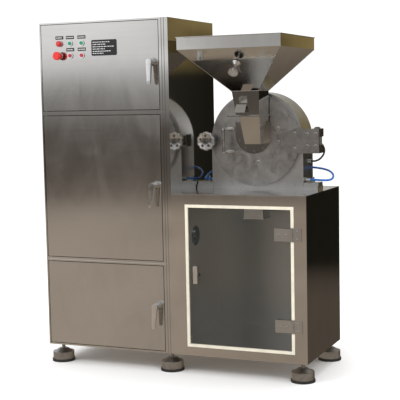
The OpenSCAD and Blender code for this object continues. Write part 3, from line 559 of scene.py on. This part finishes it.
HOSES = {
    "hose_right": [(582, 348, 916), (591, 348, 916), (600, 348, 916), (640, 352, 914), (668, 372, 914),
                   (677, 402, 922), (668, 434, 938), (640, 464, 952), (600, 488, 960),
                   (556, hose_end_y + 8, 964), (525, hose_end_y + 20, 965)] + hose_rear(500, 965),
    "hose_left": [(72, 348, 916), (63, 348, 916), (54, 348, 916), (34, 354, 914), (20, 374, 914),
                  (15, 402, 922), (20, 434, 938), (42, 464, 952), (76, hose_end_y + 2, 960),
                  (112, hose_end_y + 18, 964)] + hose_rear(140, 965),
}
CABLE = [(x, CABLE_Y, z) for x, z in (
    (563, 1098), (571, 1098), (580, 1098), (603, 1092), (620, 1077), (628, 1055),
    (622, 1032), (606, 1013), (590, 1004), (578, 1001), (570, 1001), (563, 1001))]
for name, route in HOSES.items():
    line = smooth_points([at(*p) for p in route])
    hose = Build().tube(line, HOSE_R, 16).done(name, m_hose, "frame", "blue_hose")
    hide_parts("air_hoses")
line = smooth_points([at(*p) for p in CABLE])
cable = Build().tube(line, CABLE_R, 14).done("sensor_cable", m_rubber, "frame", "black_rubber")
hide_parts("control_cable")

# ---------------------------------------------------------------- clamp knob with a scalloped rim
knob_lo, knob_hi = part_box("clamp_knob")
knob_c = Vector(((knob_lo[0] + knob_hi[0]) / 2, knob_lo[1], (knob_lo[2] + knob_hi[2]) / 2))
knob_r = (knob_hi[0] - knob_lo[0]) / 2
LOBES = 10
DIP = 0.075         # depth of the dips between the lobes, as a share of the radius


def scallop(a):
    lobe = 0.5 - 0.5 * math.cos(LOBES * a)
    return 1 - DIP * (1 - lobe) ** 2


knob = Build()
rim = [(0.012, 0.0022), (knob_r - 0.012, 0.0022), (knob_r - 0.008, 0.0006), (knob_r - 0.004, 0.0),
       (knob_r - 0.0012, 0.0016), (knob_r, 0.005), (knob_r, 0.017), (knob_r - 0.0015, 0.0205),
       (knob_r - 0.005, 0.022), (0.020, 0.022), (0.0175, 0.026), (0.017, 0.060)]
knob.lathe(knob_c, BACKWARD, rim, 120, scallop)
stud = [(0.0079, 0.055), (0.0079, knob_hi[1] - knob_lo[1] - 0.001), (0.0072, knob_hi[1] - knob_lo[1])]
knob.lathe(knob_c, BACKWARD, stud, 24)
knob_piece = knob.done("scalloped_knob", m_chrome, "clamp_knob", "bright_chrome", sharp=50)
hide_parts("clamp_knob")
# Dark discs on the knob's face for the recesses on the circle and the one at the centre: painted shade
# standing in for the depth of holes that are not cut
recess_shade = Build()
RECESSES = 5
RECESS_CIRCLE = 0.027
for k in range(RECESSES):
    a = math.radians(90 + 360 / RECESSES * k)
    place = knob_c + Vector((RECESS_CIRCLE * math.cos(a), 0.0, RECESS_CIRCLE * math.sin(a)))
    recess_shade.lathe(place, BACKWARD, [(0.0058, 0.0012), (0.0066, 0.0014), (0.0066, 0.0026), (0.0, 0.0026)], 24)
recess_shade.lathe(knob_c, BACKWARD, [(0.0, 0.0008), (0.0075, 0.0008), (0.0090, 0.0014), (0.0090, 0.0030)], 28)
recess_shade.done("knob_recess_shade", m_dark, "clamp_knob", "dark_steel")

# ---------------------------------------------------------------- screws and washers
screws = Build()
hinge_zs = (691, 267)
for z in hinge_zs:
    for dz in (-19, 19):
        screw(screws, 626, -6, z + dz, 4.2, 2.2)
screws.done("hinge_block_screws", m_bolt, "frame", "bright_chrome")
screws = Build()
for z in hinge_zs:
    for x in (540, 573):
        screw(screws, x, -5, z, 4.2, 2.0)
screws.done("clamp_screws", m_bolt, "glass_door", "bright_chrome")
washers = Build()
for x, rise in ((443, -7), (526, 33), (526, -41), (589, 29), (589, -28), (630, 30), (630, -28)):
    washer(washers, x, ARM_FRONT_Y, AXIS_Z + rise, 9)
for off, rise in ((117, 58), (17, -105)):
    washer(washers, AXIS_X + off, MILL_DOOR_FRONT_Y, AXIS_Z + rise, 11)
washers.done("bolt_washers", m_bolt, "mill_door", "bright_chrome")

# ---------------------------------------------------------------- printed labels, generic bars only
random.seed(7)
marks = Build()
for x, z in ((-583, 1596), (-524, 1596), (-460, 1596), (-524, 1537), (-460, 1537)):
    left = x - 18
    while left < x + 15:
        w = random.choice((3.2, 4.4, 5.2))
        lo, hi = at(left, -1.25, z + 26.5), at(min(left + w, x + 18), -0.95, z + 31.5)
        marks.slab(lo, hi, 0.0001)
        left += w + 1.8
PLATE_LEFT_X = -399     # where the rows of the large plate begin
for z, width in ((1597, 90), (1586, 70), (1575, 104), (1564, 62), (1553, 96), (1543, 54)):
    left = PLATE_LEFT_X
    while left < PLATE_LEFT_X + width:
        w = random.choice((5, 8, 12))
        lo, hi = at(left, -1.75, z - 1.9), at(left + w, -1.45, z + 1.9)
        marks.slab(lo, hi, 0.0001)
        left += w + 3
marks.done("label_marks", m_print, "control_door", "black_label", smooth=False)

# ---------------------------------------------------------------- welds and rims of the feed
band = [(72, -60), (577, -60), (577, 445), (72, 445)]
throat_top = [(260, 145), (397, 145), (397, 283), (260, 283)]
throat_low = [(280, 150), (395, 150), (395, 281), (280, 281)]
chute_top = [(295, 150), (397, 150), (397, 282), (295, 282)]
chute_low = [(303, 200), (382, 200), (382, 282), (303, 282)]
welds = Build()


def weld(a, b, r=1.5, seed=0):
    """A thin bead with a slightly uneven line."""
    a, b = at(*a), at(*b)
    steps = max(3, int((b - a).length / 0.012))
    rng = random.Random(seed)
    pts = []
    for i in range(steps + 1):
        stray = Vector([rng.uniform(-0.0003, 0.0003) for _ in range(3)])
        pts.append(a.lerp(b, i / steps) + stray)
    welds.tube(pts, r / 1000, 8)


for k in range(4):
    j = (k + 1) % 4
    weld((*band[k], BAND_LOW_Z), (*throat_top[k], THROAT_TOP_Z), 1.6, k)
    weld((*throat_top[k], THROAT_TOP_Z), (*throat_top[j], THROAT_TOP_Z), 1.4, 10 + k)
    weld((*throat_low[k], THROAT_LOW_Z), (*throat_low[j], THROAT_LOW_Z), 1.6, 20 + k)
for k in range(2):
    weld((*chute_top[k], 1226), (*chute_low[k], 1096), 1.3, 30 + k)
welds.done("feed_welds", m_brushed, "mill_door", "brushed_steel")
rim = Build()
rim_corners = [(70.5, -61.5), (578.5, -61.5), (578.5, 446.5), (70.5, 446.5)]
loop = []
for k in range(4):
    a, b = rim_corners[k], rim_corners[(k + 1) % 4]
    for i in range(1, 12):
        t = i / 12
        loop.append(at(a[0] + (b[0] - a[0]) * t, a[1] + (b[1] - a[1]) * t, BAND_TOP_Z))
rim.tube(loop, 0.0022, 10, closed=True)
rim.done("hopper_rolled_rim", m_hopper, "mill_door", "polished_steel")

# ---------------------------------------------------------------- feet: thread above the pad
threads = Build()
for x in (-653, -41, 625):
    for y in (62, 500):
        profile = [(0.0078, 0.0)]
        for k in range(9):
            h = 0.001 + 0.002 * k
            profile += [(0.0081, h), (0.0090, h + 0.0007), (0.0081, h + 0.0014)]
        profile.append((0.0078, 0.0195))
        threads.lathe(at(x, y, 63.5), UPWARD, profile, 28)
threads.done("foot_threads", m_bolt, "feet", "foot_metal", sharp=70)

# ---------------------------------------------------------------- louvres and rear details
louvres = Build()


def louvre(a0, a1, z, spot, depth=5, height=11):
    """A pressed louvre, open below. spot(along, out, up) gives a point on its panel."""
    verts = [spot(a0, 0, z + height), spot(a1, 0, z + height),
             spot(a1 - 2, depth, z + 2), spot(a0 + 2, depth, z + 2),
             spot(a0, 0, z), spot(a1, 0, z),
             spot(a1 - 2, depth, z + 0.8), spot(a0 + 2, depth, z + 0.8)]
    louvres.add(verts, [(0, 1, 2, 3), (0, 3, 7, 4), (1, 5, 6, 2), (3, 2, 6, 7), (4, 7, 6, 5), (0, 4, 5, 1)])


def on_case_back(along, out, up):
    return at(along, CASE_BACK_Y + out, up)


def on_guard_left(along, out, up):
    return at(GUARD_LEFT_X - out, along, up)


def on_guard_right(along, out, up):
    return at(GUARD_RIGHT_X + out, along, up)


for row in range(7):
    z = 1345 + row * 22
    louvre(-640, -540, z, on_case_back)
    louvre(-150, -50, z, on_case_back)
for row in range(9):
    z = 300 + row * 24
    louvre(610, 770, z, on_guard_left)
    louvre(610, 770, z, on_guard_right)
louvres.done("rear_louvres", m_brushed, "frame", "polished_steel", smooth=False)
rear = Build()
for x in (-680, -350, -17):
    for z in (115, 500, 900, 1250, 1680):
        screw(rear, x, CASE_BACK_Y, z, 4, 2.2, BACKWARD)
for y in (590, 785):
    for z in (160, 480, 790):
        screw(rear, GUARD_LEFT_X, y, z, 4, 2.2, (-1, 0, 0))
        screw(rear, GUARD_RIGHT_X, y, z, 4, 2.2, (1, 0, 0))
rear.done("rear_screws", m_bolt, "frame", "bright_chrome")

# ---------------------------------------------------------------- floor, and the room that steel mirrors
floor_mesh = bpy.data.meshes.new("floor")
span = 60
corners = [(-span, -span, 0), (span, -span, 0), (span, span, 0), (-span, span, 0)]
floor_mesh.from_pydata(corners, [], [(0, 1, 2, 3)])
floor = bpy.data.objects.new("floor", floor_mesh)
scene.collection.objects.link(floor)
floor_mat = Nodes("floor_pale")
pale = floor_mat.ramp(floor_mat.noise(0.8, 3), [(0.3, (0.93, 0.93, 0.925)), (0.7, (0.95, 0.95, 0.95))])
floor_mat.set(Base_Color=pale, Roughness=1.0, Specular_IOR_Level=0.0)
floor_mat.bump((floor_mat.noise(60, 3), 0.02, 0.001))
floor_mesh.materials.append(floor_mat.mat)
floor.visible_glossy = False


def band_step(e, lo, hi):
    """0 below lo and 1 above hi, with a smooth step between them."""
    t = min(1, max(0, (e - lo) / (hi - lo)))
    return t * t * (3 - 2 * t)


def blend_colour(a, b, t):
    return tuple(x + (y - x) * t for x, y in zip(a, b))


# Each colour takes over from the one below it between two elevations, in degrees
FLOOR_NEAR = (0.33, 0.275, 0.215)
ROOM_BANDS = (((0.405, 0.343, 0.285), -34, -14),    # taupe floor
              ((0.105, 0.090, 0.078), -7.6, -5.4),  # dim foot of the walls
              ((0.245, 0.238, 0.228), -1.2, 0.3))   # grey walls
BRIGHT, CEILING = (0.96, 0.96, 0.97), (0.70, 0.70, 0.71)
# The dark corner behind at the right, and the gold light above it; azimuths in degrees
CORNER_AZ, CORNER_WIDTH = 18, 34
CORNER_LOW, CORNER_BLACK = (0.090, 0.073, 0.057), (0.012, 0.011, 0.008)
CORNER_GOLD, CORNER_TOP = (0.30, 0.225, 0.095), (0.35, 0.33, 0.28)


def room(direction):
    """Light from one direction: a workshop with a taupe floor, darker walls and a bright upper part."""
    x, y, z = direction
    el = math.degrees(math.asin(max(-1, min(1, z))))
    az = math.degrees(math.atan2(x, y))        # 0 towards the back, 90 towards +x, 180 towards the front
    soft = 1 + 0.10 * math.sin(az * 0.21 + 1.3) + 0.07 * math.sin(az * 0.53 + el * 0.9)
    streak = 1 + 0.10 * math.sin(el * 2.3 + 0.6 * math.sin(az * 0.12)) + 0.06 * math.sin(el * 5.1 + 2)
    c = FLOOR_NEAR
    for colour, lo, hi in ROOM_BANDS:
        c = blend_colour(c, colour, band_step(el, lo, hi))
    left_side = 0.42 + 0.58 * band_step(az % 360, 200.5, 205)
    c = blend_colour(c, BRIGHT, band_step(el, 1.6, 3.8) * left_side)
    c = blend_colour(c, CEILING, band_step(el, 12, 30))
    c = tuple(v * soft * streak for v in c)
    off = (az - CORNER_AZ + 180) % 360 - 180
    dark = math.exp(-(off / CORNER_WIDTH) ** 4)
    low = blend_colour(CORNER_LOW, CORNER_BLACK, band_step(el, -13.0, -11.6))
    post = math.exp(-((az - 9) / 3.2) ** 2) + 0.7 * math.exp(-((az - 27) / 2.5) ** 2)
    low = tuple(v * (1 + 2.2 * post) for v in low)
    flicker = 0.6 * math.sin(az * 0.62) * math.sin(el * 0.9 + 1)
    gold = tuple(v * (0.75 + flicker) for v in CORNER_GOLD)
    corner = blend_colour(low, gold, band_step(el, 2.5, 3.2))
    corner = blend_colour(corner, CORNER_TOP, band_step(el, 11, 22))
    return blend_colour(c, corner, dark)


DOME_R, DOME_Z = 14, 1.1
dome_mesh = bpy.data.meshes.new("room_dome")
bm = bmesh.new()
bmesh.ops.create_uvsphere(bm, u_segments=144, v_segments=144, radius=DOME_R)
bm.to_mesh(dome_mesh)
bm.free()
colours = dome_mesh.attributes.new("room", "FLOAT_COLOR", "POINT")
for i, vertex in enumerate(dome_mesh.vertices):
    colours.data[i].color = (*room(vertex.co.normalized()), 1)
dome = bpy.data.objects.new("room_dome", dome_mesh)
dome.location = (0, 0, DOME_Z)
scene.collection.objects.link(dome)
dome_mat = bpy.data.materials.new("room_light")
dome_mat.use_nodes = True
tree = dome_mat.node_tree
tree.nodes.clear()
attribute = tree.nodes.new("ShaderNodeAttribute")
attribute.attribute_name = "room"
glow = tree.nodes.new("ShaderNodeEmission")
output = tree.nodes.new("ShaderNodeOutputMaterial")
tree.links.new(attribute.outputs["Color"], glow.inputs["Color"])
tree.links.new(glow.outputs[0], output.inputs["Surface"])
dome_mat.cycles.emission_sampling = "NONE"
dome_mesh.materials.append(dome_mat)
dome.visible_camera = False
dome.visible_diffuse = False
dome.visible_transmission = False
dome.visible_shadow = False
dome.visible_volume_scatter = False

world = bpy.data.worlds.new("studio")
scene.world = world
world.use_nodes = True
world.node_tree.nodes["Background"].inputs["Color"].default_value = (1, 1, 1, 1)
world.node_tree.nodes["Background"].inputs["Strength"].default_value = 1.13
world.cycles_visibility.glossy = False


def softbox(name, place, target, size, energy):
    data = bpy.data.lights.new(name, "AREA")
    data.shape = "RECTANGLE"
    data.size, data.size_y = size
    data.energy = energy
    light = bpy.data.objects.new(name, data)
    light.location = place
    light.rotation_euler = (Vector(target) - Vector(place)).to_track_quat("-Z", "Y").to_euler()
    light.visible_glossy = False
    scene.collection.objects.link(light)


softbox("key", (-2.6, -4.2, 4.2), (0, 0, 0.9), (2.4, 1.6), 90)
softbox("fill", (3.6, -3.4, 3.2), (0.2, 0, 0.9), (1.6, 1.6), 40)
softbox("top", (0.2, 0.6, 5.0), (0, 0, 0.8), (3.0, 2.0), 70)
softbox("back", (-1.5, 5.0, 3.4), (0, 0, 1.0), (2.4, 1.6), 40)
scene.view_settings.view_transform = "Standard"
